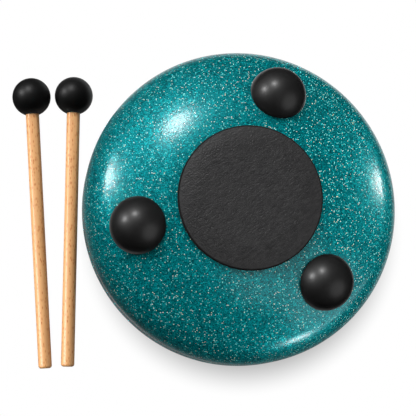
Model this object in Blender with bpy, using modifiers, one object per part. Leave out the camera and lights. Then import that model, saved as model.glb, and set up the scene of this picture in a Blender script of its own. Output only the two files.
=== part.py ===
"""Rain drum: a 6-inch steel tongue drum lying on its playing face, with its pair of mallets.

Units are metres and +Z is up. The drum's axis is the Z axis and the surface it lies on is z = 0,
so the base shell with its pad and three feet faces up and the playing shell faces down.
"""
import math

import bmesh
import bpy
from mathutils import Matrix, Vector

# Fits
FIT_GAP = 0.0003             # clearance between pieces that touch or fit in each other

# Both shells are the same pressing: flat middle, wide low crown, round shoulder, straight rim
DRUM_RADIUS = 0.0775         # outside, at the seam
WALL = 0.0015                # pressed steel sheet
FLAT_RADIUS = 0.0220         # flat middle
CROWN_SLOPE = math.radians(32.0)   # slope where the crown runs into the shoulder
SHOULDER_RADIUS = 0.0220
RIM_BAND = 0.0067            # straight rim of each shell, up to the seam's middle
SEAM_GROOVE = 0.0012         # open joint between the two rims
LIP_HEIGHT = 0.0050          # the base shell's lip below the seam's middle
LIP_SLOPE_HEIGHT = 0.0018    # inner slope from the rim to the stepped-in lip

# Tongues in the playing shell, cut free by one U-shaped slot each
TONGUE_LENGTHS = (0.0360, 0.0300, 0.0250, 0.0215, 0.0200, 0.0230, 0.0275, 0.0330)
TONGUE_FIRST_ANGLE = math.radians(86.0)
TONGUE_TIP_DISTANCE = 0.0220  # drum axis to a tongue's tip
TONGUE_TIP_RADIUS = 0.0075    # half the tongue's width at its round tip
TONGUE_FLARE = math.radians(4.0)   # each long side opens this much towards the root
SLOT_WIDTH = 0.0014
SLOT_END_RADIUS = 0.0016     # round relief hole at each end of a slot

# Pad laid over the base shell's flat middle and the start of its crown
PAD_RADIUS = 0.0345
PAD_THICKNESS = 0.0026
PAD_EDGE_RADIUS = 0.0006
TAPE_MARGIN = 0.0015         # how far the tape stays inside the pad's edge
TAPE_THICKNESS = 0.0005

# Feet: rubber domes moulded over a steel disc with a threaded shank
FOOT_COUNT = 3
FOOT_FIRST_ANGLE = math.radians(73.9)
FOOT_TO_RIM = 0.0234         # middle of a foot's seat to the drum's outside, seen from above
FOOT_RADIUS = 0.0137
FOOT_SKIRT = 0.0005          # straight part of the side above the seat
FOOT_DOME_HEIGHT = 0.0116
STUD_DISC_RADIUS = 0.0080
STUD_DISC_THICKNESS = 0.0012
STUD_DISC_HEIGHT = 0.0030    # seat to the disc's near side
STUD_RADIUS = 0.0025
STUD_TAIL = 0.0015           # thread showing past the nut
NUT_ACROSS_FLATS = 0.0080
NUT_HEIGHT = 0.0040
NUT_FLANGE_RADIUS = 0.0060
NUT_FLANGE_THICKNESS = 0.0010

# Mallets: a turned beech stick pressed into a rubber ball
MALLET_LENGTH = 0.1492       # over the ball and the stick
BALL_RADIUS = 0.0099
STICK_HEAD_RADIUS = 0.0034   # at the ball
STICK_END_RADIUS = 0.0034    # at the hand end
STICK_END_ROUNDING = 0.0014
BALL_BORE_DEPTH = 0.0130     # from the ball's surface
RIM_TO_STICK = 0.0008        # the near mallet's stick to the drum's rim, side to side
BALL_TO_BALL = 0.0019        # open space between the two balls
NEAR_BALL_Y = 0.0618         # the near mallet's ball, along Y from the drum's axis
FAR_BALL_Y = 0.0606          # the far mallet's ball
NEAR_HEADING = math.radians(-90.45)  # from the ball along the stick, counted from +X
FAR_HEADING = math.radians(-86.15)

# Facets
SHELL_STEPS = 64
CROWN_SEGMENTS = 5
SHOULDER_SEGMENTS = 6
FOOT_STEPS = 36
FOOT_SEGMENTS = 7
FASTENER_STEPS = 20
HEX_SIDES = 6
BALL_STEPS = 28
BALL_SEGMENTS = 10
STICK_STEPS = 20
EDGE_SEGMENTS = 3
SLOT_TIP_SEGMENTS = 11
SLOT_END_SEGMENTS = 8
SMOOTH_ANGLE = math.radians(35.0)
WELD_DISTANCE = 0.000002     # points this close are one point

# Worked out from the sizes above
CROWN_RADIUS = (
    DRUM_RADIUS - FLAT_RADIUS - SHOULDER_RADIUS * (1 - math.sin(CROWN_SLOPE))
) / math.sin(CROWN_SLOPE)
CROWN_RISE = CROWN_RADIUS * (1 - math.cos(CROWN_SLOPE))
SHELL_DEPTH = CROWN_RISE + SHOULDER_RADIUS * math.cos(CROWN_SLOPE) + RIM_BAND
SEAM_HEIGHT = SHELL_DEPTH
TOP_HEIGHT = 2 * SHELL_DEPTH
SHOULDER_CENTRE = (DRUM_RADIUS - SHOULDER_RADIUS, SHELL_DEPTH - RIM_BAND)
LIP_RADIUS = DRUM_RADIUS - WALL - FIT_GAP
FOOT_RING_RADIUS = DRUM_RADIUS - FOOT_TO_RIM
FOOT_SPHERE_RADIUS = (FOOT_RADIUS ** 2 + FOOT_DOME_HEIGHT ** 2) / (2 * FOOT_DOME_HEIGHT)


def clear_scene():
    """Remove what the startup file holds."""
    for obj in list(bpy.data.objects):
        bpy.data.objects.remove(obj, do_unlink=True)


def new_collection(name):
    collection = bpy.data.collections.new(name)
    bpy.context.scene.collection.children.link(collection)
    return collection


def material(name, colour, roughness, metallic=0.0):
    """A plain Principled material; the colour is linear RGB."""
    made = bpy.data.materials.new(name)
    made.use_nodes = True
    shader = made.node_tree.nodes["Principled BSDF"]
    shader.inputs["Base Color"].default_value = (*colour, 1.0)
    shader.inputs["Roughness"].default_value = roughness
    shader.inputs["Metallic"].default_value = metallic
    made.diffuse_color = (*colour, 1.0)
    return made


def arc(centre, radius, start, end, segments):
    """Points of an arc, both ends included, with angles counted from +X."""
    turn = (end - start) / segments
    return [
        (
            centre[0] + radius * math.cos(start + turn * step),
            centre[1] + radius * math.sin(start + turn * step),
        )
        for step in range(segments + 1)
    ]


def add_object(name, mesh, finish=None, parent=None, collection=None):
    """Link a mesh object into the drum's collection, or into another one."""
    obj = bpy.data.objects.new(name, mesh)
    (collection or PARTS).objects.link(obj)
    obj.parent = parent
    if finish:
        mesh.materials.append(finish)
    return obj


def turned(name, profile, steps, finish=None, parent=None, collection=None):
    """A turned piece: (radius, height) points that run down its outer side, about local Z.

    A profile that starts and ends on the axis stays open there; any other is closed on itself.
    """
    edges = [(index, index + 1) for index in range(len(profile) - 1)]
    if profile[0][0] > 0 or profile[-1][0] > 0:
        edges.append((len(profile) - 1, 0))
    mesh = bpy.data.meshes.new(name)
    mesh.from_pydata([(radius, 0.0, height) for radius, height in profile], edges, [])
    obj = add_object(name, mesh, finish, parent, collection)
    screw = obj.modifiers.new("turn", "SCREW")
    screw.axis = "Z"
    screw.angle = math.tau
    screw.steps = steps
    screw.render_steps = steps
    screw.use_merge_vertices = True
    screw.merge_threshold = 0.00001
    screw.use_smooth_shade = True
    return obj


def cylinder(name, radius, bottom, top, sides, finish=None, parent=None, collection=None):
    """A cylinder or, with few sides, a prism along local Z between two heights."""
    mesh = bpy.data.meshes.new(name)
    shape = bmesh.new()
    bmesh.ops.create_cone(
        shape, cap_ends=True, segments=sides, radius1=radius, radius2=radius, depth=top - bottom,
        matrix=Matrix.Translation((0, 0, (top + bottom) / 2)),
    )
    shape.to_mesh(mesh)
    shape.free()
    return add_object(name, mesh, finish, parent, collection)


def as_cutter(obj):
    obj.hide_render = True
    obj.display_type = "WIRE"
    return obj


def combine(obj, other, operation="DIFFERENCE"):
    boolean = obj.modifiers.new(operation.lower(), "BOOLEAN")
    boolean.operation = operation
    boolean.object = other
    boolean.solver = "EXACT"


def settle(obj):
    """Apply the modifiers, then shade the piece smooth apart from its real edges."""
    bpy.context.view_layer.update()
    evaluated = obj.evaluated_get(bpy.context.evaluated_depsgraph_get())
    made = bpy.data.meshes.new_from_object(evaluated)
    shape = bmesh.new()
    shape.from_mesh(made)
    bmesh.ops.remove_doubles(shape, verts=shape.verts, dist=WELD_DISTANCE)
    bmesh.ops.dissolve_degenerate(shape, edges=shape.edges, dist=WELD_DISTANCE)
    shape.to_mesh(made)
    shape.free()
    obj.modifiers.clear()
    obj.data = made
    made.shade_smooth()
    made.set_sharp_from_angle(angle=SMOOTH_ANGLE)
    return obj


def pressing_profile(inset):
    """(radius, depth) points of one face of the pressing, from its axis to the seam's middle.

    inset is how far the face lies inside the outer one; depth is counted from the outer flat.
    """
    crown_centre = (FLAT_RADIUS, CROWN_RADIUS)
    quarter = math.pi / 2
    crown = arc(crown_centre, CROWN_RADIUS - inset, -quarter, CROWN_SLOPE - quarter, CROWN_SEGMENTS)
    shoulder = arc(
        SHOULDER_CENTRE, SHOULDER_RADIUS - inset, CROWN_SLOPE - quarter, 0.0, SHOULDER_SEGMENTS
    )
    return [(0.0, inset)] + crown + shoulder[1:] + [(DRUM_RADIUS - inset, SHELL_DEPTH)]


def outer_seat(radius):
    """Depth and slope of the pressing's outer face at a distance from the drum's axis."""
    crown_end = FLAT_RADIUS + CROWN_RADIUS * math.sin(CROWN_SLOPE)
    if radius <= FLAT_RADIUS:
        return 0.0, 0.0
    if radius <= crown_end:
        slope = math.asin((radius - FLAT_RADIUS) / CROWN_RADIUS)
        return CROWN_RADIUS * (1 - math.cos(slope)), slope
    slope = math.asin((radius - SHOULDER_CENTRE[0]) / SHOULDER_RADIUS)
    return SHOULDER_CENTRE[1] - SHOULDER_RADIUS * math.cos(slope), slope


def slot_outline(length):
    """Closed outline of one U slot, with the tongue's root towards +X and the drum's axis at 0."""
    tip_centre = Vector((TONGUE_TIP_DISTANCE + TONGUE_TIP_RADIUS, 0.0))
    along = Vector((math.cos(TONGUE_FLARE), math.sin(TONGUE_FLARE)))
    across = Vector((-math.sin(TONGUE_FLARE), math.cos(TONGUE_FLARE)))
    half = SLOT_WIDTH / 2
    first = math.pi / 2 + TONGUE_FLARE
    side = (length - TONGUE_TIP_RADIUS) / math.cos(TONGUE_FLARE)
    end = tip_centre + TONGUE_TIP_RADIUS * across + side * along
    open_angle = math.asin(half / SLOT_END_RADIUS)
    relief = arc(
        end, SLOT_END_RADIUS, TONGUE_FLARE - math.pi + open_angle,
        TONGUE_FLARE + math.pi - open_angle, SLOT_END_SEGMENTS,
    )
    mirrored = [(x, -y) for x, y in relief]
    inner = arc(tip_centre, TONGUE_TIP_RADIUS - half, first, math.tau - first, SLOT_TIP_SEGMENTS)
    outer = arc(tip_centre, TONGUE_TIP_RADIUS + half, math.tau - first, first, SLOT_TIP_SEGMENTS)
    return inner + mirrored + outer + relief[::-1]


def slot_cutter(index, length):
    """The slot's outline as a filled flat curve, made a mesh that goes through the shell."""
    outline = slot_outline(length)
    curve = bpy.data.curves.new(f"slot_outline_{index}", "CURVE")
    curve.dimensions = "2D"
    curve.fill_mode = "BOTH"
    spline = curve.splines.new("POLY")
    spline.points.add(len(outline) - 1)
    for point, (x, y) in zip(spline.points, outline):
        point.co = (x, y, 0.0, 1.0)
    spline.use_cyclic_u = True
    reach = outer_seat(TONGUE_TIP_DISTANCE + length + SLOT_END_RADIUS)[0] + 2 * WALL
    curve.extrude = (reach + WALL) / 2
    flat = bpy.data.objects.new(f"slot_outline_{index}", curve)
    CUTTERS.objects.link(flat)
    angle = TONGUE_FIRST_ANGLE + math.tau * index / len(TONGUE_LENGTHS)
    flat.rotation_euler = (0.0, 0.0, angle)
    flat.location = (0.0, 0.0, (reach - WALL) / 2)
    bpy.context.view_layer.update()
    mesh = bpy.data.meshes.new_from_object(
        flat.evaluated_get(bpy.context.evaluated_depsgraph_get())
    )
    shape = bmesh.new()
    shape.from_mesh(mesh)
    bmesh.ops.remove_doubles(shape, verts=shape.verts, dist=WELD_DISTANCE)
    bmesh.ops.recalc_face_normals(shape, faces=shape.faces)
    shape.to_mesh(mesh)
    shape.free()
    cutter = add_object(f"slot_cutter_{index}", mesh, collection=CUTTERS)
    cutter.matrix_world = flat.matrix_world
    bpy.data.objects.remove(flat, do_unlink=True)
    return as_cutter(cutter)


def foot_empty(index):
    """An empty on the base shell's outer face, with +Z square to the shell and out of it."""
    depth, slope = outer_seat(FOOT_RING_RADIUS)
    angle = FOOT_FIRST_ANGLE + math.tau * index / FOOT_COUNT
    empty = bpy.data.objects.new(f"foot_{index + 1}_axis", None)
    PARTS.objects.link(empty)
    empty.location = (
        FOOT_RING_RADIUS * math.cos(angle), FOOT_RING_RADIUS * math.sin(angle), TOP_HEIGHT - depth
    )
    empty.rotation_euler = (0.0, slope, angle)
    return empty


def build_playing_shell(finish):
    """The lower shell, with the tongues' slots."""
    outer = pressing_profile(0.0)
    inner = pressing_profile(WALL)
    rim = SEAM_HEIGHT - SEAM_GROOVE / 2
    outer[-1] = (outer[-1][0], rim)
    inner[-1] = (inner[-1][0], rim)
    shell = turned("playing_shell", inner + outer[::-1], SHELL_STEPS, finish)
    for index, length in enumerate(TONGUE_LENGTHS):
        combine(shell, slot_cutter(index, length))
    return settle(shell)


def build_base_shell(finish, feet):
    """The upper shell: its stepped-in lip drops inside the playing shell's rim."""
    outer = [(radius, TOP_HEIGHT - depth) for radius, depth in pressing_profile(0.0)]
    inner = [(radius, TOP_HEIGHT - depth) for radius, depth in pressing_profile(WALL)]
    rim = SEAM_HEIGHT + SEAM_GROOVE / 2
    lip_inside = LIP_RADIUS - WALL
    outer[-1] = (DRUM_RADIUS, rim)
    inner[-1] = (DRUM_RADIUS - WALL, rim + WALL + LIP_SLOPE_HEIGHT)
    lip = [
        (LIP_RADIUS, rim),
        (LIP_RADIUS, SEAM_HEIGHT - LIP_HEIGHT),
        (lip_inside, SEAM_HEIGHT - LIP_HEIGHT),
        (lip_inside, rim + WALL),
    ]
    shell = turned("base_shell", outer + lip + inner[::-1], SHELL_STEPS, finish)
    for index, foot in enumerate(feet):
        hole = cylinder(
            f"stud_hole_{index + 1}", STUD_RADIUS + FIT_GAP, -3 * WALL, 2 * WALL, FASTENER_STEPS,
            parent=foot, collection=CUTTERS,
        )
        combine(shell, as_cutter(hole))
    return settle(shell)


def build_seam_bead(finish):
    """The bead that fills the groove, set back a little from the shells' outer faces."""
    inside = LIP_RADIUS + FIT_GAP
    outside = DRUM_RADIUS - FIT_GAP
    half = SEAM_GROOVE / 2 - FIT_GAP
    profile = [
        (outside, SEAM_HEIGHT + half), (outside, SEAM_HEIGHT - half),
        (inside, SEAM_HEIGHT - half), (inside, SEAM_HEIGHT + half),
    ]
    return settle(turned("seam_bead", profile, SHELL_STEPS, finish))


def laid_profile(gap, reach):
    """(radius, height) points of a face that lies over the base shell, from its axis outwards.

    gap is how far the face lies outside the shell; reach is the radius where it ends.
    """
    face = [(radius, TOP_HEIGHT - depth) for radius, depth in pressing_profile(-gap)]
    inside = [point for point in face if point[0] < reach]
    near, far = inside[-1], face[len(inside)]
    share = (reach - near[0]) / (far[0] - near[0])
    return inside + [(reach, near[1] + share * (far[1] - near[1]))]


def build_pad(pad_finish, tape_finish):
    """The pad and the tape under it: both bend with the shell that they are stuck to."""
    tape_reach = PAD_RADIUS - TAPE_MARGIN
    tape_top = FIT_GAP + TAPE_THICKNESS
    tape = laid_profile(tape_top, tape_reach) + laid_profile(FIT_GAP, tape_reach)[::-1]
    settle(turned("pad_tape", tape, SHELL_STEPS, tape_finish))

    pad_bottom = tape_top + FIT_GAP
    top = laid_profile(pad_bottom + PAD_THICKNESS, PAD_RADIUS - PAD_EDGE_RADIUS)
    edge_radius, edge_height = top[-1]
    edge = arc(
        (edge_radius, edge_height - PAD_EDGE_RADIUS), PAD_EDGE_RADIUS, math.pi / 2, 0.0,
        EDGE_SEGMENTS,
    )
    pad = top[:-1] + edge + laid_profile(pad_bottom, PAD_RADIUS)[::-1]
    settle(turned("base_pad", pad, SHELL_STEPS, pad_finish))


def shell_envelope():
    """The base shell's outer body, one fit larger: it shapes the underside of the feet."""
    outer = [(radius, TOP_HEIGHT - depth) for radius, depth in pressing_profile(-FIT_GAP)]
    outer.append((0.0, SEAM_HEIGHT))
    return as_cutter(turned("foot_seat_cutter", outer, SHELL_STEPS, collection=CUTTERS))


def build_foot(index, foot, envelope, rubber, steel):
    """One dome with its stud and weld nut, in the foot's own frame."""
    name = f"foot_{index + 1}"
    disc_top = STUD_DISC_HEIGHT + STUD_DISC_THICKNESS
    below = -(FOOT_RADIUS ** 2) / SHOULDER_RADIUS
    bore = STUD_RADIUS + FIT_GAP
    pocket = STUD_DISC_RADIUS + FIT_GAP
    sphere_centre = FOOT_SKIRT + FOOT_DOME_HEIGHT - FOOT_SPHERE_RADIUS
    dome = arc(
        (0.0, sphere_centre), FOOT_SPHERE_RADIUS, math.pi / 2,
        math.asin((FOOT_SKIRT - sphere_centre) / FOOT_SPHERE_RADIUS), FOOT_SEGMENTS,
    )
    dome[0] = (0.0, FOOT_SKIRT + FOOT_DOME_HEIGHT)
    profile = dome + [
        (FOOT_RADIUS, below), (bore, below),
        (bore, STUD_DISC_HEIGHT - FIT_GAP), (pocket, STUD_DISC_HEIGHT - FIT_GAP),
        (pocket, disc_top + FIT_GAP), (0.0, disc_top + FIT_GAP),
    ]
    rubber_dome = turned(name, profile, FOOT_STEPS, rubber, parent=foot)
    combine(rubber_dome, envelope)
    settle(rubber_dome)

    flange_drop = NUT_FLANGE_RADIUS ** 2 / (2 * SHOULDER_RADIUS)
    flange_top = -WALL - flange_drop - FIT_GAP
    nut_bottom = flange_top - NUT_FLANGE_THICKNESS - NUT_HEIGHT
    stud_end = nut_bottom - STUD_TAIL
    stud = turned(
        f"{name}_stud",
        [
            (0.0, disc_top), (STUD_DISC_RADIUS, disc_top), (STUD_DISC_RADIUS, STUD_DISC_HEIGHT),
            (STUD_RADIUS, STUD_DISC_HEIGHT), (STUD_RADIUS, stud_end), (0.0, stud_end),
        ],
        FASTENER_STEPS, steel, parent=foot,
    )
    settle(stud)

    hex_radius = NUT_ACROSS_FLATS / 2 / math.cos(math.pi / HEX_SIDES)
    flange_bottom = flange_top - NUT_FLANGE_THICKNESS
    nut = cylinder(
        f"{name}_weld_nut", hex_radius, nut_bottom, flange_bottom + NUT_FLANGE_THICKNESS / 2,
        HEX_SIDES, steel, parent=foot,
    )
    flange = cylinder(
        f"{name}_flange", NUT_FLANGE_RADIUS, flange_bottom, flange_top, FASTENER_STEPS,
        parent=foot, collection=CUTTERS,
    )
    thread = cylinder(
        f"{name}_thread", STUD_RADIUS + FIT_GAP, stud_end, 0.0, FASTENER_STEPS,
        parent=foot, collection=CUTTERS,
    )
    combine(nut, as_cutter(flange), "UNION")
    combine(nut, as_cutter(thread))
    settle(nut)


def mallet_empty(index, ball_y, heading):
    """An empty at the ball's centre; +Z runs along the stick, which slopes down to its end."""
    near_x = -(DRUM_RADIUS + RIM_TO_STICK + STICK_HEAD_RADIUS)
    ball_x = near_x - index * (2 * BALL_RADIUS + BALL_TO_BALL)
    reach = MALLET_LENGTH - BALL_RADIUS
    droop = math.asin((BALL_RADIUS - STICK_END_RADIUS) / reach)
    empty = bpy.data.objects.new(f"mallet_{index + 1}_axis", None)
    PARTS.objects.link(empty)
    empty.location = (ball_x, ball_y, BALL_RADIUS)
    empty.rotation_euler = (0.0, math.pi / 2 + droop, heading)
    return empty


def build_mallet(index, ball_y, heading, rubber, beech):
    name = f"mallet_{index + 1}"
    axis = mallet_empty(index, ball_y, heading)
    stick_start = BALL_RADIUS - BALL_BORE_DEPTH + FIT_GAP
    stick_end = MALLET_LENGTH - BALL_RADIUS
    bore = STICK_HEAD_RADIUS + FIT_GAP
    mouth = math.acos(bore / BALL_RADIUS)
    ball_side = arc((0.0, 0.0), BALL_RADIUS, mouth, -math.pi / 2, BALL_SEGMENTS)
    ball_side[-1] = (0.0, -BALL_RADIUS)
    ball = [(0.0, BALL_RADIUS - BALL_BORE_DEPTH), (bore, BALL_RADIUS - BALL_BORE_DEPTH)]
    settle(turned(f"{name}_head", ball + ball_side, BALL_STEPS, rubber, parent=axis))

    end_edge = arc(
        (STICK_END_RADIUS - STICK_END_ROUNDING, stick_end - STICK_END_ROUNDING),
        STICK_END_ROUNDING, math.pi / 2, 0.0, EDGE_SEGMENTS,
    )
    stick = [(0.0, stick_end)] + end_edge + [(STICK_HEAD_RADIUS, BALL_RADIUS)]
    stick += [(STICK_HEAD_RADIUS, stick_start), (0.0, stick_start)]
    settle(turned(f"{name}_stick", stick, STICK_STEPS, beech, parent=axis))


clear_scene()
PARTS = new_collection("rain_drum")
CUTTERS = new_collection("cutters")

glitter_paint = material("turquoise_glitter_paint", (0.0, 0.24, 0.26), 0.25, 0.35)
playing_paint = material("turquoise_glitter_paint_playing_side", (0.0, 0.24, 0.26), 0.25, 0.35)
seam_filler = material("dark_seam_filler", (0.02, 0.045, 0.045), 0.5)
charcoal_pad = material("charcoal_pad", (0.03, 0.03, 0.03), 0.85)
tape_foam = material("pad_adhesive", (0.55, 0.55, 0.50), 0.7)

foot_axes = [foot_empty(number) for number in range(FOOT_COUNT)]
bpy.context.view_layer.update()
build_playing_shell(playing_paint)
build_base_shell(glitter_paint, foot_axes)
build_seam_bead(seam_filler)
build_pad(charcoal_pad, tape_foam)
seat_cutter = shell_envelope()
for number, foot_axis in enumerate(foot_axes):
    build_foot(
        number, foot_axis, seat_cutter,
        material(f"foot_{number + 1}_rubber", (0.012, 0.012, 0.012), 0.4),
        material(f"foot_{number + 1}_zinc_steel", (0.55, 0.55, 0.57), 0.35, 1.0),
    )
for number, (ball_place, stick_heading) in enumerate(
    ((NEAR_BALL_Y, NEAR_HEADING), (FAR_BALL_Y, FAR_HEADING))
):
    build_mallet(
        number, ball_place, stick_heading,
        material(f"mallet_{number + 1}_rubber", (0.010, 0.010, 0.010), 0.45),
        material(f"mallet_{number + 1}_beech", (0.78, 0.50, 0.27), 0.6),
    )
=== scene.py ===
"""The rain drum's looks: painted shells, pad, feet and mallets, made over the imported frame.

Units are metres and +Z is up. The drum's axis is the Z axis, it lies on its playing face at
z = 0, and its base shell faces up.
"""

import math

import bpy
import numpy as np
from mathutils import Euler, Matrix, Vector


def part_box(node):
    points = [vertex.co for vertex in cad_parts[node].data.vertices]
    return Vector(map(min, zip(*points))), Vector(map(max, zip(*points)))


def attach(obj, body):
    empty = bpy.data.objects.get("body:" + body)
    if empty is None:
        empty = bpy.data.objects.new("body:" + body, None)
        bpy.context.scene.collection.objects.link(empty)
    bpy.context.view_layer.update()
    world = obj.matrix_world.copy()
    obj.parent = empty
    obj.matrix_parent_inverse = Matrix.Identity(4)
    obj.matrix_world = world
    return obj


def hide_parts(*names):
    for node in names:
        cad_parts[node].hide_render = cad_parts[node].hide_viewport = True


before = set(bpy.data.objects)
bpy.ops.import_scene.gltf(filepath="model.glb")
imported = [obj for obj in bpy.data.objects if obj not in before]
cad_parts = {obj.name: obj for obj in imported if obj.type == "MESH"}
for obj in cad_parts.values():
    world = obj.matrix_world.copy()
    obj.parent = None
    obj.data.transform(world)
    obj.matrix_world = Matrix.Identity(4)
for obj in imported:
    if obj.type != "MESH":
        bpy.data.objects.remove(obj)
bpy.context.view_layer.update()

# Camera: a long lens looking almost straight down, from a little towards -X and -Y.
# It was fitted to the drum's outline, the pad, the feet and the mallets in the photograph.
CAMERA_PLACE = Vector((-0.10100, -0.09840, 0.72549))
CAMERA_TARGET = Vector((-0.01523, 0.00038, 0.0383))
LENS_MM = 121.67
SENSOR_MM = 36.0

forward = (CAMERA_TARGET - CAMERA_PLACE).normalized()
right = forward.cross(Vector((0.0, 1.0, 0.0))).normalized()
camera_turn = Matrix((right, right.cross(forward), -forward)).transposed()
camera = bpy.data.objects.new("camera", bpy.data.cameras.new("camera"))
camera.data.lens = LENS_MM
camera.data.sensor_width = SENSOR_MM
camera.data.clip_start = 0.02
camera.matrix_world = Matrix.Translation(CAMERA_PLACE) @ camera_turn.to_4x4()
bpy.context.scene.collection.objects.link(camera)
bpy.context.scene.camera = camera


# Base shell: the half of the drum that faces up, a steel dish pressed with a flat middle and a
# round shoulder. Below the seam its rim steps in, to drop inside the playing shell. Three round
# holes take the feet's studs. Outside it has turquoise glitter paint under a clear gloss coat.
SHEET = 0.0015
FLAT_RADIUS = 0.0220
CROWN_SLOPE = math.radians(32.0)
SHOULDER_RADIUS = 0.0220
RIM_BAND = 0.0067
SEAM_GROOVE = 0.0012
LIP_GAP = 0.0003
LIP_HEIGHT = 0.0050
LIP_SLOPE_HEIGHT = 0.0018
RIM_ROUNDING = 0.0003
SHELL_SIDES = 192

base_low, base_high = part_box("base_shell")
bead_low, bead_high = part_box("seam_bead")
DRUM_RADIUS = base_high.x
TOP_HEIGHT = base_high.z
SEAM_HEIGHT = (bead_low.z + bead_high.z) / 2
SHOULDER_CENTRE = DRUM_RADIUS - SHOULDER_RADIUS
CROWN_RADIUS = (
    SHOULDER_CENTRE - FLAT_RADIUS + SHOULDER_RADIUS * math.sin(CROWN_SLOPE)
) / math.sin(CROWN_SLOPE)


def pressing_face(inset, flat_rings=6, crown_rings=14, shoulder_rings=28):
    """(radius, depth) of one face of the pressing, from its axis to the start of its straight rim.

    A flat disc, then two arcs that share their slope where they meet: the crown's centre lies
    over the edge of the flat, and the shoulder's lies one shoulder radius inside the rim.
    """
    flat = np.linspace((0.0, inset), (FLAT_RADIUS, inset), flat_rings)
    slope = np.linspace(0.0, CROWN_SLOPE, crown_rings)
    crown = np.stack([
        FLAT_RADIUS + (CROWN_RADIUS - inset) * np.sin(slope),
        CROWN_RADIUS - (CROWN_RADIUS - inset) * np.cos(slope),
    ], axis=1)
    shoulder_depth = CROWN_RADIUS - (CROWN_RADIUS - SHOULDER_RADIUS) * math.cos(CROWN_SLOPE)
    slope = np.linspace(CROWN_SLOPE, math.pi / 2, shoulder_rings)
    shoulder = np.stack([
        SHOULDER_CENTRE + (SHOULDER_RADIUS - inset) * np.sin(slope),
        shoulder_depth - (SHOULDER_RADIUS - inset) * np.cos(slope),
    ], axis=1)
    return np.concatenate([flat[:-1], crown, shoulder[1:]])


def rounded(corners, radius, steps=5):
    """A path whose inner corners are arcs of the given radius, or of one radius each.

    An arc touches both sides at radius times the tangent of half the turn from its corner. It is
    the conic that has the corner as control point and the cosine of half the turn as weight.
    """
    corners = np.asarray(corners, float)
    before, corner, after = corners[:-2], corners[1:-1], corners[2:]
    into = (corner - before) / np.linalg.norm(corner - before, axis=1, keepdims=True)
    out = (after - corner) / np.linalg.norm(after - corner, axis=1, keepdims=True)
    half_turn = np.arccos(np.clip((into * out).sum(axis=1), -1.0, 1.0)) / 2
    reach = (radius * np.tan(half_turn))[:, None]
    start, end = (corner - into * reach)[:, None], (corner + out * reach)[:, None]
    share = np.linspace(0.0, 1.0, steps)[None, :, None]
    weight = np.cos(half_turn)[:, None, None]
    first, second, third = (1 - share) ** 2, 2 * share * (1 - share) * weight, share ** 2
    arcs = (first * start + second * corner[:, None] + third * end) / (first + second + third)
    return np.concatenate([corners[:1], arcs.reshape(-1, 2), corners[-1:]])


def rings_of(profile, sides):
    """Rings of points about Z: at angle a, a (radius, height) point lies at (r cos a, r sin a, h)."""
    angle = np.arange(sides) * (2 * math.pi / sides)
    radius, height = profile[:, 0, None], profile[:, 1, None]
    return np.stack([
        radius * np.cos(angle), radius * np.sin(angle), np.broadcast_to(height, (len(profile), sides))
    ], axis=2)


def ring_mesh(name, rings, poles=None, pose=None):
    """A closed piece made of rings of points, with four-sided faces from each ring to the next.

    With poles, the first and last rings close in fans at those two points. Without, the last
    ring joins the first. The rings run down the outer side, so the faces point outwards.
    """
    count, sides = rings.shape[:2]
    index = np.arange(count * sides).reshape(count, sides)
    across = np.roll(index, -1, axis=1)
    last = count if poles is None else count - 1
    below, below_across = np.roll(index, -1, axis=0), np.roll(across, -1, axis=0)
    quads = np.stack([index, below, below_across, across], axis=2)[:last].reshape(-1, 4)
    points, fans = rings.reshape(-1, 3), np.empty((0, 3), int)
    if poles is not None:
        top, bottom = np.full(sides, len(points)), np.full(sides, len(points) + 1)
        fans = np.concatenate([
            np.stack([top, index[0], across[0]], axis=1),
            np.stack([index[-1], bottom, across[-1]], axis=1),
        ])
        points = np.concatenate([points, np.asarray(poles, float)])
    mesh = bpy.data.meshes.new(name)
    mesh.from_pydata(points, [], quads.tolist() + fans.tolist())
    if pose is not None:
        mesh.transform(pose)
    mesh.shade_smooth()
    mesh.set_sharp_from_angle(angle=math.radians(35.0))
    piece = bpy.data.objects.new(name, mesh)
    bpy.context.scene.collection.objects.link(piece)
    return piece


def turned(name, profile, sides, pose=None):
    """A turned piece. Its profile starts and ends on the axis, or else it closes on itself."""
    if profile[0, 0] > 0:
        return ring_mesh(name, rings_of(profile, sides), pose=pose)
    poles = [(0.0, 0.0, profile[0, 1]), (0.0, 0.0, profile[-1, 1])]
    return ring_mesh(name, rings_of(profile[1:-1], sides), poles, pose)


def carve(piece, cutters):
    """Take the cutters out of the piece, and remove them."""
    for cutter in cutters:
        cut = piece.modifiers.new("cut", "BOOLEAN")
        cut.object = cutter
    bpy.context.view_layer.update()
    carved = bpy.data.meshes.new_from_object(
        piece.evaluated_get(bpy.context.evaluated_depsgraph_get())
    )
    piece.modifiers.clear()
    piece.data = carved
    carved.shade_smooth()
    carved.set_sharp_from_angle(angle=math.radians(35.0))
    for cutter in cutters:
        bpy.data.objects.remove(cutter, do_unlink=True)


def dress(piece, body, slot, finish, *nodes):
    """Give a piece its finish, its body and the nodes that it stands for; the slot argument is not
    used.
    """
    piece.data.materials.clear()
    piece.data.materials.append(finish)
    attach(piece, body)
    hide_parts(*nodes)


def new_finish(name):
    """A new material, its shader, and a function that adds a node to it.

    That function takes the node's type, then a dictionary of inputs, each of which is set to a
    number or colour or linked to a socket, then the node's own settings.
    """
    finish = bpy.data.materials.new(name)
    finish.use_nodes = True
    tree = finish.node_tree
    shader = tree.nodes["Principled BSDF"]

    def feed(node, inputs):
        for socket, value in inputs.items():
            if isinstance(value, bpy.types.NodeSocket):
                tree.links.new(value, node.inputs[socket])
            else:
                node.inputs[socket].default_value = value

    def add(kind, inputs, **settings):
        node = tree.nodes.new("ShaderNode" + kind)
        for setting, value in settings.items():
            setattr(node, setting, value)
        feed(node, inputs)
        return node

    return finish, lambda inputs: feed(shader, inputs), add


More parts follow.
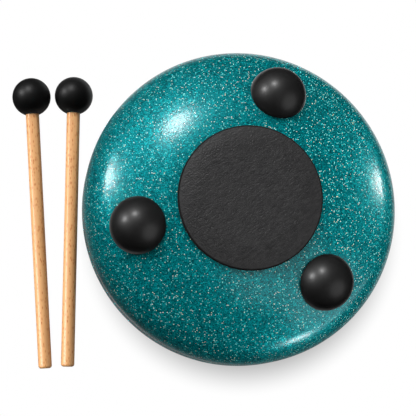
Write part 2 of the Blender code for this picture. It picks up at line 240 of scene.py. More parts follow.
def mixed(add, share, first, second, blend="MIX"):
    """A colour that goes from the first to the second as share goes from 0 to 1."""
    node = add("Mix", {0: share, 6: first, 7: second}, data_type="RGBA", blend_type=blend)
    return node.outputs[2]


def worked(add, operation, first, second=0.0):
    """One arithmetic step."""
    return add("Math", {0: first, 1: second}, operation=operation).outputs[0]


def ramp(add, value, stops, interpolation="LINEAR"):
    """A colour read from a list of (place, colour) stops."""
    node = add("ValToRGB", {"Fac": value})
    bar = node.color_ramp
    bar.interpolation = interpolation
    bar.elements[0].position, bar.elements[1].position = stops[0][0], stops[-1][0]
    bar.elements[0].color, bar.elements[1].color = stops[0][1], stops[-1][1]
    for place, colour in stops[1:-1]:
        bar.elements.new(place).color = colour
    return node.outputs["Color"]


FLAKE_SIZE = 0.00042         # the fine flakes that fill the paint
FLECK_SIZE = 0.00064         # spacing of the large flakes
FLECK_REACH = 0.36           # their half width, as a share of that spacing
FLECK_SHARE = 0.74           # share of the spaces that hold none
FLAKE_TILT = 0.17
PEEL_DEPTH = 0.00006          # the clear coat's faint ripple
PAINT_METAL = 0.60           # how much of the fine flakes' light is a mirror's, not a powder's
PAINT_SHADES = (
    (0.00, (0.000, 0.100, 0.115, 1.0)),
    (0.45, (0.000, 0.226, 0.254, 1.0)),
    (0.80, (0.000, 0.330, 0.362, 1.0)),
    (1.00, (0.000, 0.520, 0.550, 1.0)),
)
FLECK_SHADES = (
    (0.00, (0.28, 1.00, 0.94, 1.0)),
    (0.28, (0.82, 1.00, 0.88, 1.0)),
    (0.42, (0.12, 0.76, 0.74, 1.0)),
    (0.66, (0.02, 0.64, 0.66, 1.0)),
    (0.84, (0.72, 0.90, 0.62, 1.0)),
    (0.93, (0.002, 0.020, 0.022, 1.0)),
)


def glitter_paint():
    """Turquoise paint packed with glitter, under a clear coat.

    Small cells each have a shade and a tilt of their own. Some cells of a wider set hold a large
    pale flake, where the surface passes close to the cell's centre.
    """
    finish, shade, add = new_finish("glitter_paint")
    place = add("TexCoord", {}).outputs["Object"]
    flake = add("TexVoronoi", {"Vector": place, "Scale": 1 / FLAKE_SIZE})
    fleck = add("TexVoronoi", {"Vector": place, "Scale": 1 / FLECK_SIZE})
    drift = add("TexNoise", {"Vector": place, "Scale": 300.0, "Detail": 2.0})
    flake_draw = add("SeparateColor", {0: flake.outputs["Color"]})
    fleck_draw = add("SeparateColor", {0: fleck.outputs["Color"]})
    shifted = worked(add, "ADD", flake_draw.outputs[0],
                     worked(add, "MULTIPLY", worked(add, "SUBTRACT", drift.outputs[0], 0.5), 0.55))
    paint = ramp(add, shifted, PAINT_SHADES)
    near = worked(add, "LESS_THAN", fleck.outputs["Distance"], FLECK_REACH)
    chosen = worked(add, "GREATER_THAN", fleck_draw.outputs[0], FLECK_SHARE)
    shown = worked(add, "MULTIPLY", near, chosen)
    colour = mixed(add, shown, paint, ramp(add, fleck_draw.outputs[1], FLECK_SHADES, "CONSTANT"))
    cell = add("Mix", {0: shown, 4: flake.outputs["Color"], 5: fleck.outputs["Color"]},
               data_type="VECTOR").outputs[1]
    tilt = add("VectorMath", {0: cell, 1: (0.5, 0.5, 0.5)}, operation="SUBTRACT").outputs[0]
    tilt = add("VectorMath", {0: tilt, "Scale": FLAKE_TILT}, operation="SCALE").outputs[0]
    facing = add("NewGeometry", {}).outputs["Normal"]
    turned_flake = add("VectorMath", {0: facing, 1: tilt}, operation="ADD").outputs[0]
    turned_flake = add("VectorMath", {0: turned_flake}, operation="NORMALIZE").outputs[0]
    shine = worked(add, "MULTIPLY", worked(add, "SUBTRACT", 1.0, shown), PAINT_METAL)
    peel = add("TexNoise", {"Vector": place, "Scale": 620.0, "Detail": 1.0}).outputs[0]
    peel = add("Bump", {"Height": peel, "Strength": 1.0, "Distance": PEEL_DEPTH})
    shade({
        "Base Color": colour, "Metallic": shine, "Roughness": 0.42, "Normal": turned_flake,
        "Specular IOR Level": 0.0,
        "Coat Weight": 1.0, "Coat Roughness": 0.20, "Coat IOR": 1.45, "Coat Normal": peel.outputs[0],
    })
    return finish


FOOT_COUNT = 3
FOOT_FIRST_ANGLE = math.radians(73.9)
FOOT_RING_RADIUS = 0.0541
STUD_HOLE_RADIUS = 0.0028


def foot_pose(number):
    """A foot's own frame: on the shell's outer face, with +Z square to it and out of it."""
    slope = math.asin((FOOT_RING_RADIUS - FLAT_RADIUS) / CROWN_RADIUS)
    angle = FOOT_FIRST_ANGLE + number * 2 * math.pi / FOOT_COUNT
    seat = TOP_HEIGHT - CROWN_RADIUS * (1 - math.cos(slope))
    place = (FOOT_RING_RADIUS * math.cos(angle), FOOT_RING_RADIUS * math.sin(angle), seat)
    return Matrix.Translation(place) @ Euler((0.0, slope, angle)).to_matrix().to_4x4()


rim = SEAM_HEIGHT + SEAM_GROOVE / 2
lip_outside = DRUM_RADIUS - SHEET - LIP_GAP
lip_inside = lip_outside - SHEET
outer = pressing_face(0.0) * (1, -1) + (0, TOP_HEIGHT)
inner = pressing_face(SHEET, 2, 6, 14)[::-1] * (1, -1) + (0, TOP_HEIGHT)
step = rounded([
    outer[-1], (DRUM_RADIUS, rim), (lip_outside, rim), (lip_outside, SEAM_HEIGHT - LIP_HEIGHT),
    (lip_inside, SEAM_HEIGHT - LIP_HEIGHT), (lip_inside, rim + SHEET),
    (DRUM_RADIUS - SHEET, rim + SHEET + LIP_SLOPE_HEIGHT), inner[0],
], RIM_ROUNDING)
base_shell = turned("base_shell_pressing", np.concatenate([outer, step[1:-1], inner]), SHELL_SIDES)
hole = np.array([
    (0.0, 2 * SHEET), (STUD_HOLE_RADIUS, 2 * SHEET), (STUD_HOLE_RADIUS, -3 * SHEET),
    (0.0, -3 * SHEET),
])
carve(base_shell, [turned("stud_hole", hole, 32, foot_pose(n)) for n in range(FOOT_COUNT)])
paint = glitter_paint()
dress(base_shell, "drum", "glitter_paint", paint, "base_shell")


# Playing shell: the half that the drum lies on, the same pressing the other way up. Eight tongues
# round its middle are each cut free by one U-shaped slot with a round relief hole at its two ends.
# The tongues' lengths tune them. It has the same paint as the base shell.
TONGUE_LENGTHS = (0.0360, 0.0300, 0.0250, 0.0215, 0.0200, 0.0230, 0.0275, 0.0330)
TONGUE_FIRST_ANGLE = math.radians(86.0)
TONGUE_TIP_DISTANCE = 0.0220
TONGUE_TIP_RADIUS = 0.0075
TONGUE_FLARE = math.radians(4.0)
SLOT_WIDTH = 0.0014
SLOT_END_RADIUS = 0.0016
SLOT_CUT_DEPTH = 0.0260


def arc(centre, radius, start, end, segments):
    """Points of an arc: the centre plus radius times (cos, sin) of each angle in even steps."""
    angle = np.linspace(start, end, segments + 1)
    return np.asarray(centre) + radius * np.stack([np.cos(angle), np.sin(angle)], axis=1)


def slot_cutter(number, length):
    """A wall as wide as the saw cut, along the outline of one tongue.

    Half a slot is an arc round the tip, then a straight side that opens by the flare, then the
    relief hole. The other half is its mirror image in the tongue's middle line.
    """
    tip = np.array([TONGUE_TIP_DISTANCE + TONGUE_TIP_RADIUS, 0.0])
    along = np.array([math.cos(TONGUE_FLARE), math.sin(TONGUE_FLARE)])
    across = np.array([-along[1], along[0]])
    end = tip + TONGUE_TIP_RADIUS * across + (length - TONGUE_TIP_RADIUS) / along[0] * along
    first, half = math.pi / 2 + TONGUE_FLARE, SLOT_WIDTH / 2
    mouth = math.asin(half / SLOT_END_RADIUS)
    relief = arc(
        end, SLOT_END_RADIUS, TONGUE_FLARE - math.pi + mouth, TONGUE_FLARE + math.pi - mouth, 20
    )
    outline = np.concatenate([
        arc(tip, TONGUE_TIP_RADIUS - half, first, 2 * math.pi - first, 32), relief * (1, -1),
        arc(tip, TONGUE_TIP_RADIUS + half, 2 * math.pi - first, first, 32), relief[::-1],
    ])
    count = len(outline)
    low = np.column_stack([outline, np.full(count, -SHEET)])
    high = np.column_stack([outline, np.full(count, SLOT_CUT_DEPTH)])
    index = np.arange(count)
    ahead = np.roll(index, -1)
    walls = np.stack([index, index + count, ahead + count, ahead], axis=1)
    mesh = bpy.data.meshes.new("slot")
    mesh.from_pydata(
        np.concatenate([low, high]), [],
        walls.tolist() + [index.tolist(), (index[::-1] + count).tolist()],
    )
    turn = TONGUE_FIRST_ANGLE + number * 2 * math.pi / len(TONGUE_LENGTHS)
    mesh.transform(Matrix.Rotation(turn, 4, "Z"))
    cutter = bpy.data.objects.new("slot", mesh)
    bpy.context.scene.collection.objects.link(cutter)
    return cutter


rim = SEAM_HEIGHT - SEAM_GROOVE / 2
inner = pressing_face(SHEET, 6, 14, 28)
outer = pressing_face(0.0)[::-1]
edge = rounded(
    [inner[-1], (DRUM_RADIUS - SHEET, rim), (DRUM_RADIUS, rim), outer[0]], RIM_ROUNDING
)
playing_shell = turned(
    "playing_shell_pressing", np.concatenate([inner, edge[1:-1], outer]), SHELL_SIDES
)
carve(playing_shell, [slot_cutter(n, length) for n, length in enumerate(TONGUE_LENGTHS)])
dress(playing_shell, "drum", "glitter_paint", paint, "playing_shell")


# Seam bead: filler run into the narrow groove where the two rims meet, wiped a little hollow
# before it set. It is dark and satin, and shows as the thin line round the drum.
BEAD_INSET = 0.0003
BEAD_HOLLOW = 0.0002
bead_inside = lip_outside + LIP_GAP / 3
bead_half = SEAM_GROOVE / 2 - LIP_GAP / 6
rise = np.linspace(1.0, -1.0, 9)
face = np.stack([
    DRUM_RADIUS - BEAD_INSET - BEAD_HOLLOW * (1 - rise ** 2), SEAM_HEIGHT + bead_half * rise
], axis=1)
back = [(bead_inside, SEAM_HEIGHT - bead_half), (bead_inside, SEAM_HEIGHT + bead_half)]
bead = turned("seam_bead_filler", np.concatenate([face, back]), SHELL_SIDES)


def seam_filler():
    """Dark filler with a fine uneven skin."""
    finish, shade, add = new_finish("seam_filler")
    place = add("TexCoord", {}).outputs["Object"]
    mottle = add("TexNoise", {"Vector": place, "Scale": 900.0, "Detail": 4.0}).outputs[0]
    colour = mixed(add, mottle, (0.010, 0.022, 0.022, 1.0), (0.035, 0.060, 0.055, 1.0))
    bump = add("Bump", {"Height": mottle, "Strength": 0.3, "Distance": 0.0001})
    shade({"Base Color": colour, "Roughness": 0.5, "Normal": bump.outputs[0]})
    return finish


dress(bead, "drum", "seam_filler", seam_filler(), "seam_bead")


# Base pad: a stiff rubber disc with a fine leathery grain, punched from sheet with a slightly
# rolled edge. It is stuck over the base shell's flat middle with double-sided tape, and bends with
# the start of the shell's crown.
PAD_RADIUS = 0.0345
PAD_FROM_SHELL = 0.0011
PAD_THICKNESS = 0.0026
PAD_EDGE_RADIUS = 0.0006
PAD_SIDES = 160
PAD_GRAIN_TURN = math.radians(35.0)


def laid_face(gap, reach):
    """The part of the face that lies a gap outside the base shell, from the axis to a radius."""
    line = pressing_face(-gap, 10, 40, 10) * (1, -1) + (0, TOP_HEIGHT)
    inside = line[line[:, 0] < reach - 0.0010]
    return np.concatenate([inside, [(reach, np.interp(reach, line[:, 0], line[:, 1]))]])


pad_top = laid_face(PAD_FROM_SHELL + PAD_THICKNESS, PAD_RADIUS)
pad_bottom = laid_face(PAD_FROM_SHELL, PAD_RADIUS)[::-1]
pad_edge = rounded([pad_top[-2], pad_top[-1], pad_bottom[0], pad_bottom[1]],
                   np.array([PAD_EDGE_RADIUS, PAD_EDGE_RADIUS / 3]), 7)
pad = turned("base_pad_disc", np.concatenate([pad_top[:-2], pad_edge, pad_bottom[2:]]), PAD_SIDES)


def charcoal_rubber():
    """Matte charcoal rubber: shallow creases between leathery cells, with a finer grain on them, and
    painted shade in a thin ring just inside its edge.
    """
    finish, shade, add = new_finish("charcoal_rubber")
    place = add("TexCoord", {}).outputs["Object"]
    bend = add("TexNoise", {"Vector": place, "Scale": 500.0, "Detail": 2.0}).outputs["Color"]
    bend = add("VectorMath", {0: bend, "Scale": 0.0007}, operation="SCALE").outputs[0]
    bent = add("VectorMath", {0: place, 1: bend}, operation="ADD").outputs[0]
    crease = add("TexVoronoi", {"Vector": bent, "Scale": 900.0}, feature="DISTANCE_TO_EDGE")
    crease = add("MapRange", {0: crease.outputs[0], 1: 0.0, 2: 0.25, 3: 0.0, 4: 1.0}).outputs[0]
    drawn = add("Mapping", {"Vector": bent, "Rotation": (0.0, 0.0, PAD_GRAIN_TURN),
                            "Scale": (3.0, 1.0, 1.0)}, vector_type="TEXTURE").outputs[0]
    pull = add("TexNoise", {"Vector": drawn, "Scale": 1050.0, "Detail": 3.0}).outputs[0]
    grain = add("TexNoise", {"Vector": place, "Scale": 1150.0, "Detail": 4.0}).outputs[0]
    cloud = add("TexNoise", {"Vector": place, "Scale": 160.0, "Detail": 4.0}).outputs[0]
    height = worked(add, "ADD", worked(add, "MULTIPLY", crease, 0.4),
                    worked(add, "MULTIPLY", worked(add, "ADD", grain, pull), 1.6))
    colour = mixed(add, cloud, (0.012, 0.012, 0.013, 1.0), (0.024, 0.023, 0.024, 1.0))
    colour = mixed(add, add("MapRange", {0: pull, 1: 0.35, 2: 0.75}).outputs[0],
                   colour, (0.036, 0.035, 0.036, 1.0))
    out_from_axis = add("VectorMath", {0: add("VectorMath", {0: place, 1: (1.0, 1.0, 0.0)},
                        operation="MULTIPLY").outputs[0]}, operation="LENGTH").outputs["Value"]
    # Painted shade: the colour goes almost black in a thin ring just inside the pad's edge, standing in
    # for the shade at its side. The same ring is also made fully matt.
    painted_edge_shade = add("MapRange", {0: out_from_axis, 1: PAD_RADIUS - 0.0010, 2: PAD_RADIUS - 0.0004})
    colour = mixed(add, painted_edge_shade.outputs[0], colour, (0.001, 0.001, 0.001, 1.0))
    matt_edge = add("MapRange", {0: painted_edge_shade.outputs[0], 3: 0.40, 4: 1.0})
    bump = add("Bump", {"Height": height, "Strength": 0.6, "Distance": 0.00016})
    shade({
        "Base Color": colour, "Roughness": matt_edge.outputs[0], "Specular IOR Level": 0.80,
        "Normal": bump.outputs[0],
    })
    return finish


dress(pad, "drum", "charcoal_pad", charcoal_rubber(), "base_pad")


# Pad tape: the pale foam disc between the pad and the shell, sticky on both faces. It stays as
# the frame has it, and takes a finish with open foam cells.
def adhesive_foam():
    """Pale foam, with small dark pores."""
    finish, shade, add = new_finish("adhesive_foam")
    place = add("TexCoord", {}).outputs["Object"]
    pore = add("TexVoronoi", {"Vector": place, "Scale": 2500.0}).outputs["Distance"]
    shade({
        "Base Color": mixed(add, pore, (0.38, 0.38, 0.34, 1.0), (0.62, 0.62, 0.57, 1.0)),
        "Roughness": 0.8,
    })
    return finish


def finish_node(node, finish):
    """Give a node of the frame that stays in view its finish."""
    node.data.materials.clear()
    node.data.materials.append(finish)


finish_node(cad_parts["pad_tape"], adhesive_foam())


# Feet: three domes of black rubber, each moulded over the disc of a steel stud, whose shank goes
# through the base shell into a flanged weld nut. Their undersides follow the shell's crown.
FOOT_RADIUS = 0.0137
FOOT_SKIRT = 0.0005
FOOT_DOME_HEIGHT = 0.01159
FOOT_EDGE_ROUNDING = 0.0005
FOOT_SEAT_GAP = 0.0003
FOOT_BORE = 0.0028
FOOT_SIDES = 96
STUD_POCKET_RADIUS = 0.0083
STUD_POCKET_LOW = 0.0027
STUD_POCKET_HIGH = 0.0045


def shell_drop(points, pose):
    """How far a foot's own point lies above the shell's outer face, less the seat's gap.

    The face's height at a point's distance from the drum's axis is read from the pressing.
    """
    world = points @ np.array(pose.to_3x3()).T + np.array(pose.translation)
    face_line = pressing_face(-FOOT_SEAT_GAP, 12, 60, 60)
    reach = np.hypot(world[..., 0], world[..., 1])
    return world[..., 2] - TOP_HEIGHT + np.interp(reach, face_line[:, 0], face_line[:, 1])


def seated(points, pose):
    """Move points along the foot's axis until they lie on its seat, by repeated correction."""
    points = points.copy()
    for _ in range(12):
        points[..., 2] -= shell_drop(points, pose)
    return points


def foot_rings(pose):
    """Rings of a dome: the round top, the skirt down to the shell, the seat, the bore and pocket."""
    sphere = (FOOT_RADIUS ** 2 + FOOT_DOME_HEIGHT ** 2) / (2 * FOOT_DOME_HEIGHT)
    centre = FOOT_SKIRT + FOOT_DOME_HEIGHT - sphere
    low_angle = math.asin((FOOT_SKIRT - centre) / sphere)
    dome = arc((0.0, centre), sphere, math.pi / 2, low_angle, 40)[1:]
    dome = rings_of(dome, FOOT_SIDES)
    inside = np.array([
        (FOOT_BORE, STUD_POCKET_LOW), (STUD_POCKET_RADIUS, STUD_POCKET_LOW),
        (STUD_POCKET_RADIUS, STUD_POCKET_HIGH),
    ])
    inside = rings_of(inside, FOOT_SIDES)
    seat_radius = np.array([FOOT_RADIUS, FOOT_RADIUS - FOOT_EDGE_ROUNDING, 0.0108, 0.0081,
                            0.0054, FOOT_BORE])
    seat = seated(rings_of(np.column_stack([seat_radius, np.zeros(6)]), FOOT_SIDES), pose)
    low = seat[0].copy()
    low[:, 2] += FOOT_EDGE_ROUNDING
    skirt = low + (dome[-1] - low) * np.linspace(0.75, 0.0, 4)[:, None, None]
    return np.concatenate([dome, skirt, seat[1:], inside]), sphere + centre


def black_rubber(name, low, high, roughness, pit, gloss, skin_gloss):
    """Moulded black rubber: faint bloom in patches, a fine pitted skin, and a closer gloss on it."""
    finish, shade, add = new_finish(name)
    place = add("TexCoord", {}).outputs["Object"]
    bloom = add("TexNoise", {"Vector": place, "Scale": 220.0, "Detail": 5.0}).outputs[0]
    skin = add("TexNoise", {"Vector": place, "Scale": 2200.0, "Detail": 3.0}).outputs[0]
    bump = add("Bump", {"Height": skin, "Strength": 0.35, "Distance": pit})
    spread = add("MapRange", {0: bloom, 1: 0.3, 2: 0.7, 3: roughness - 0.04, 4: roughness + 0.04})
    shade({
        "Base Color": mixed(add, bloom, (*low, 1.0), (*high, 1.0)),
        "Roughness": spread.outputs[0], "Normal": bump.outputs[0], "Specular IOR Level": gloss,
        "Coat Weight": skin_gloss, "Coat Roughness": 0.31, "Coat IOR": 1.43,
    })
    return finish


def zinc_plate():
    """Bright zinc plate with a faint spangle."""
    finish, shade, add = new_finish("zinc_plate")
    place = add("TexCoord", {}).outputs["Object"]
    spangle = add("TexVoronoi", {"Vector": place, "Scale": 700.0}).outputs["Distance"]
    shade({
        "Base Color": mixed(add, spangle, (0.48, 0.49, 0.52, 1.0), (0.62, 0.62, 0.62, 1.0)),
        "Metallic": 1.0,
        "Roughness": add("MapRange", {0: spangle, 3: 0.25, 4: 0.42}).outputs[0],
    })
    return finish


foot_rubber = black_rubber(
    "foot_rubber", (0.003, 0.003, 0.003), (0.006, 0.006, 0.006), 0.52, 0.00003, 0.95, 1.00
)
zinc = zinc_plate()
domes = []
for number in range(FOOT_COUNT):
    pose = foot_pose(number)
    rings, top = foot_rings(pose)
    poles = [(0.0, 0.0, top), (0.0, 0.0, STUD_POCKET_HIGH)]
    name = f"foot_{number + 1}"
    dome = ring_mesh(f"{name}_dome", rings, poles, pose)
    dress(dome, "drum", "foot_rubber", foot_rubber, name)
    domes.append(dome)
    finish_node(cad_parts[f"{name}_stud"], zinc)
    finish_node(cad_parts[f"{name}_weld_nut"], zinc)


# Mallet heads: two moulded balls of matte black rubber, each with a blind bore for its stick.
BALL_RADIUS = 0.00982
BALL_BORE = 0.0037
BALL_BORE_DEPTH = 0.0130
MALLET_LENGTH = 0.14911
STICK_HEAD_RADIUS = 0.0034
STICK_END_RADIUS = 0.0034
BALL_PLACES = ((-0.0817, 0.0618), (-0.1034, 0.0606))
HEADINGS = (math.radians(-90.45), math.radians(-86.15))


def mallet_pose(number):
    """A mallet's own frame: at the ball's centre, with +Z along the stick, which slopes down."""
    droop = math.asin((BALL_RADIUS - STICK_END_RADIUS) / (MALLET_LENGTH - BALL_RADIUS))
    turn = Euler((0.0, math.pi / 2 + droop, HEADINGS[number])).to_matrix().to_4x4()
    return Matrix.Translation((*BALL_PLACES[number], BALL_RADIUS)) @ turn


mouth = math.acos(BALL_BORE / BALL_RADIUS)
ball_side = arc((0.0, 0.0), BALL_RADIUS, -math.pi / 2, mouth, 60)[::-1]
ball_side[-1] = (0.0, -BALL_RADIUS)
bore_end = BALL_RADIUS - BALL_BORE_DEPTH
lip = rounded([(BALL_BORE, bore_end), ball_side[0], ball_side[1]], 0.0001, 4)[1:-1]
ball_profile = np.concatenate([[(0.0, bore_end), (BALL_BORE, bore_end)], lip, ball_side[1:]])
mallet_rubber = black_rubber(
    "mallet_rubber", (0.002, 0.002, 0.002), (0.004, 0.004, 0.004), 0.47, 0.00005, 0.62, 0.06
)
for number in range(2):
    ball = turned(f"mallet_{number + 1}_ball", ball_profile, 96, mallet_pose(number))
    dress(ball, f"mallet_{number + 1}", "mallet_rubber", mallet_rubber, f"mallet_{number + 1}_head")


# Mallet sticks: two turned beech dowels, pressed into the balls and rounded over at the hand end.
# They are sanded and left bare, with short dark flecks along the grain.
STICK_GAP = 0.0003
STICK_END_ROUNDING = 0.0014


def beech(name, pose):
    """Pale beech: wide soft bands and fine fibres drawn out along the stick, and short flecks."""
    finish, shade, add = new_finish(name)
    place = add("TexCoord", {}).outputs["Object"]

    def along_grain(stretch):
        return add("Mapping", {
            "Vector": place, "Location": pose.translation, "Rotation": pose.to_euler(),
            "Scale": (1.0, 1.0, stretch),
        }, vector_type="TEXTURE").outputs[0]

    band = add("TexNoise", {"Vector": along_grain(20.0), "Scale": 420.0, "Detail": 3.0}).outputs[0]
    fibre = add("TexNoise", {"Vector": along_grain(28.0), "Scale": 2600.0, "Detail": 4.0}).outputs[0]
    fleck = add("TexVoronoi", {"Vector": along_grain(3.0), "Scale": 1500.0})
    draw = add("SeparateColor", {0: fleck.outputs["Color"]}).outputs[0]
    chosen = worked(add, "GREATER_THAN", draw, 0.60)
    near = add("MapRange", {0: fleck.outputs["Distance"], 1: 0.20, 2: 0.50, 3: 1.0, 4: 0.0}).outputs[0]
    colour = mixed(add, band, (0.67, 0.31, 0.110, 1.0), (0.80, 0.47, 0.215, 1.0))
    colour = mixed(add, worked(add, "MULTIPLY", fibre, 0.25), colour, (0.62, 0.26, 0.085, 1.0))
    colour = mixed(add, worked(add, "MULTIPLY", worked(add, "MULTIPLY", near, chosen), 1.0),
                   colour, (0.50, 0.15, 0.030, 1.0))
    bump = add("Bump", {"Height": fibre, "Strength": 0.25, "Distance": 0.00006})
    shade({
        "Base Color": colour, "Roughness": 0.34, "Specular IOR Level": 0.9,
        "Normal": bump.outputs[0],
    })
    return finish


stick_start = bore_end + STICK_GAP
stick_end = MALLET_LENGTH - BALL_RADIUS
stick_profile = rounded([
    (0.0, stick_end), (STICK_END_RADIUS, stick_end), (STICK_HEAD_RADIUS, BALL_RADIUS),
    (STICK_HEAD_RADIUS, stick_start), (0.0, stick_start),
], np.array([STICK_END_ROUNDING, 0.001, 0.0002]), 9)
sticks = []
for number in range(2):
    pose = mallet_pose(number)
    stick = turned(f"mallet_{number + 1}_dowel", stick_profile, 64, pose)
    dress(stick, f"mallet_{number + 1}", "beech", beech(f"beech_{number + 1}", pose),
          f"mallet_{number + 1}_stick")
    sticks.append(stick)


# Floor: a wide white table top under everything. The camera sees it plain white, apart from a
# painted soft shadow that darkens it towards a centre just under the drum. The gloss sees it white
# round the drum only, a painted pool of light with painted shade right under the drum. Under the
# drum it also gives off a painted glow to diffuse rays, which lights the drum from below.
FLOOR_REACH = 6.0
FLOOR_DROP = 0.0002
SHADOW_CENTRE = Vector((0.0074, -0.0055, 0.0))
SHADOW_SPAN = (0.0653, 0.0878)
SHADOW_LEVEL = 0.44
GLOW_CENTRE = Vector((0.020, 0.024, 0.0))
GLOW_SPAN = (0.095, 0.150)
DARK_SPAN = (0.071, 0.079)
GLOW_NEAR = (0.085, 0.110)
BELOW_SPAN = (0.050, 0.070)
BELOW_LEVEL = 0.8
floor_mesh = bpy.data.meshes.new("floor")
floor_mesh.from_pydata(
    np.array([(-1, -1, 0), (1, -1, 0), (1, 1, 0), (-1, 1, 0)], float) * FLOOR_REACH
    - (0.0, 0.0, FLOOR_DROP), [],
    [(0, 1, 2, 3)],
)
floor = bpy.data.objects.new("floor", floor_mesh)
bpy.context.scene.collection.objects.link(floor)
floor_finish, floor_shade, add = new_finish("floor_paper")
path = add("LightPath", {})
seen = path.outputs["Is Camera Ray"]
place = add("TexCoord", {}).outputs["Object"]


def floor_rings(centre, span, at_low, at_high):
    """A level that goes smoothly from one value to another with the distance from a centre."""
    away = add("VectorMath", {0: place, 1: centre}, operation="DISTANCE").outputs["Value"]
    return add("MapRange", {0: away, 1: span[0], 2: span[1], 3: at_low, 4: at_high},
               interpolation_type="SMOOTHSTEP").outputs[0]


close_by = add("MapRange", {0: path.outputs["Ray Length"], 1: GLOW_NEAR[0], 2: GLOW_NEAR[1],
                            3: 1.0, 4: 0.0}, interpolation_type="SMOOTHSTEP").outputs[0]
# Painted shade: in reflections the floor is black right under the drum, and wherever the reflected ray
# is long.
outside = worked(add, "MULTIPLY", close_by, floor_rings(Vector(), DARK_SPAN, 0.0, 1.0))
# Painted pool of light: in reflections the floor is pale round the drum, fading to dark further out.
painted_light_pool = worked(add, "MULTIPLY", outside, floor_rings(GLOW_CENTRE, GLOW_SPAN, 0.62, 0.03))
# Painted glow: under the drum the floor gives off light to diffuse rays, to light the drum from below.
painted_glow_below = floor_rings(Vector(), BELOW_SPAN, BELOW_LEVEL, 0.0)
# Painted shadow: the white floor that the camera sees darkens towards a centre just under the drum.
shadow = floor_rings(SHADOW_CENTRE, SHADOW_SPAN, SHADOW_LEVEL, 1.0)
tone = mixed(add, path.outputs["Is Glossy Ray"], (0.12, 0.12, 0.12, 1.0), painted_light_pool)
floor_shade({
    "Base Color": mixed(add, seen, tone, (0.0, 0.0, 0.0, 1.0)),
    "Roughness": 1.0, "Specular IOR Level": 0.0, "Emission Color": (1.0, 1.0, 1.0, 1.0),
    "Emission Strength": worked(add, "ADD", worked(add, "MULTIPLY", seen, shadow),
                                worked(add, "MULTIPLY", path.outputs["Is Diffuse Ray"], painted_glow_below)),
})
behind = add("NewGeometry", {}).outputs["Backfacing"]
clear = add("BsdfTransparent", {})
floor_tree = floor_finish.node_tree
paper = next(node for node in floor_tree.nodes if node.type == "BSDF_PRINCIPLED")
output = next(node for node in floor_tree.nodes if node.type == "OUTPUT_MATERIAL")
open_below = add("MixShader", {0: worked(add, "MULTIPLY", seen, behind),
                               1: paper.outputs[0], 2: clear.outputs[0]})
floor_tree.links.new(open_below.outputs[0], output.inputs["Surface"])
floor_mesh.materials.append(floor_finish)


# Light: four small soft boxes, which show in the gloss as round highlights, a tall dim panel at the
# front right, and a sky that is brighter at the upper left. The gloss sees almost nothing of the sky.
shell_pieces = bpy.data.collections.new("shell_pieces")
rubber_pieces = bpy.data.collections.new("rubber_pieces")
stick_pieces = bpy.data.collections.new("stick_pieces")
for piece in (base_shell, playing_shell, bead):
    shell_pieces.objects.link(piece)
for piece in (pad, *domes):
    rubber_pieces.objects.link(piece)
for piece in sticks:
    stick_pieces.objects.link(piece)
for piece in (base_shell, playing_shell, bead, *sticks):
    piece.visible_glossy = False


def soft_box(name, azimuth, elevation, spread, strength, colour=(1.0, 1.0, 1.0), only=None):
    """A distant round light, seen from the drum at an azimuth from +X and an elevation.

    Only the pieces of one collection take its light, where one is given.
    """
    light = bpy.data.lights.new(name, "SUN")
    light.angle = math.radians(spread)
    light.energy = strength
    light.color = colour
    lamp = bpy.data.objects.new(name, light)
    turn, tilt = math.radians(azimuth + 90.0), math.radians(90.0 - elevation)
    lamp.rotation_euler = Euler((tilt, 0.0, turn))
    bpy.context.scene.collection.objects.link(lamp)
    if only is not None:
        lamp.light_linking.receiver_collection = only


soft_box("key", 116.0, 46.0, 10.0, 0.87)
soft_box("side", 160.0, 25.8, 10.0, 0.87)
soft_box("right", 15.8, 10.8, 8.0, 0.58, (1.0, 0.94, 0.90), shell_pieces)
soft_box("sheen", 323.0, 36.0, 58.0, 0.36, (1.0, 1.0, 1.0), rubber_pieces)
soft_box("window_low", 324.0, 0.0, 34.0, 0.36, (1.0, 1.0, 1.0), shell_pieces)
soft_box("window_middle", 323.0, 33.0, 34.0, 0.28, (1.0, 1.0, 1.0), shell_pieces)
soft_box("window_high", 317.0, 64.0, 34.0, 0.20, (1.0, 1.0, 1.0), shell_pieces)
soft_box("card", 184.0, 30.0, 36.0, 2.05, (1.0, 1.0, 1.0), stick_pieces)
soft_box("front", 302.3, 6.0, 12.0, 0.56, (1.0, 1.0, 1.0), shell_pieces)

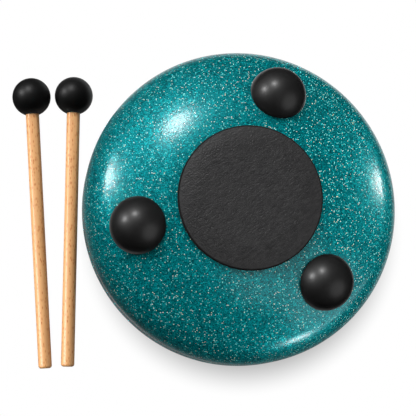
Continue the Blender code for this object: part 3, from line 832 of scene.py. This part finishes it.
BRIGHT_SIDE = Vector((-0.54, 0.74, 0.40)).normalized()
BRIGHT_LEVEL = 1.60
OPEN_SIDE = Vector((0.62, 0.67, 0.42)).normalized()
OPEN_AT_HORIZON = 1.35
OPEN_OVERHEAD = 0.30
SKY_IN_GLOSS = 0.01
world = bpy.data.worlds.new("studio")
bpy.context.scene.world = world
world.use_nodes = True
sky = world.node_tree
background = sky.nodes["Background"]
background.inputs["Color"].default_value = (1.0, 1.0, 1.0, 1.0)


def sky_node(kind, inputs, **settings):
    """A node of the sky's tree, with its inputs set or linked."""
    node = sky.nodes.new("ShaderNode" + kind)
    for setting, value in settings.items():
        setattr(node, setting, value)
    for socket, value in inputs.items():
        if isinstance(value, bpy.types.NodeSocket):
            sky.links.new(value, node.inputs[socket])
        else:
            node.inputs[socket].default_value = value
    return node


def sky_math(operation, first, second=0.0):
    """One arithmetic step in the sky's tree."""
    return sky_node("Math", {0: first, 1: second}, operation=operation).outputs[0]


def sky_dot(axis):
    """How far the direction points along an axis."""
    dot = sky_node("VectorMath", {0: direction, 1: axis}, operation="DOT_PRODUCT")
    return dot.outputs["Value"]


def sky_step(value, low, high, at_low, at_high):
    """A smooth step between two levels."""
    step = sky_node("MapRange", {0: value, 1: low, 2: high, 3: at_low, 4: at_high},
                    interpolation_type="SMOOTHSTEP")
    return step.outputs[0]


direction = sky_node("TexCoord", {}).outputs["Generated"]
ray = sky_node("LightPath", {})
up = sky_dot((0.0, 0.0, 1.0))
open_part = sky_math("MULTIPLY", sky_step(sky_dot(OPEN_SIDE), -0.20, 0.12, 0.0, 1.0),
                     sky_step(up, 0.0, 1.0, OPEN_AT_HORIZON, OPEN_OVERHEAD))
broad = sky_math("ADD", open_part, sky_step(sky_dot(BRIGHT_SIDE), 0.50, 1.05, 0.0, BRIGHT_LEVEL))
broad = sky_math("MULTIPLY", broad, sky_step(ray.outputs["Is Glossy Ray"], 0.0, 1.0, 1.0, SKY_IN_GLOSS))
lit = sky_math("MAXIMUM", broad, ray.outputs["Is Camera Ray"])
sky.links.new(lit, background.inputs["Strength"])

bpy.context.scene.view_settings.view_transform = "Standard"
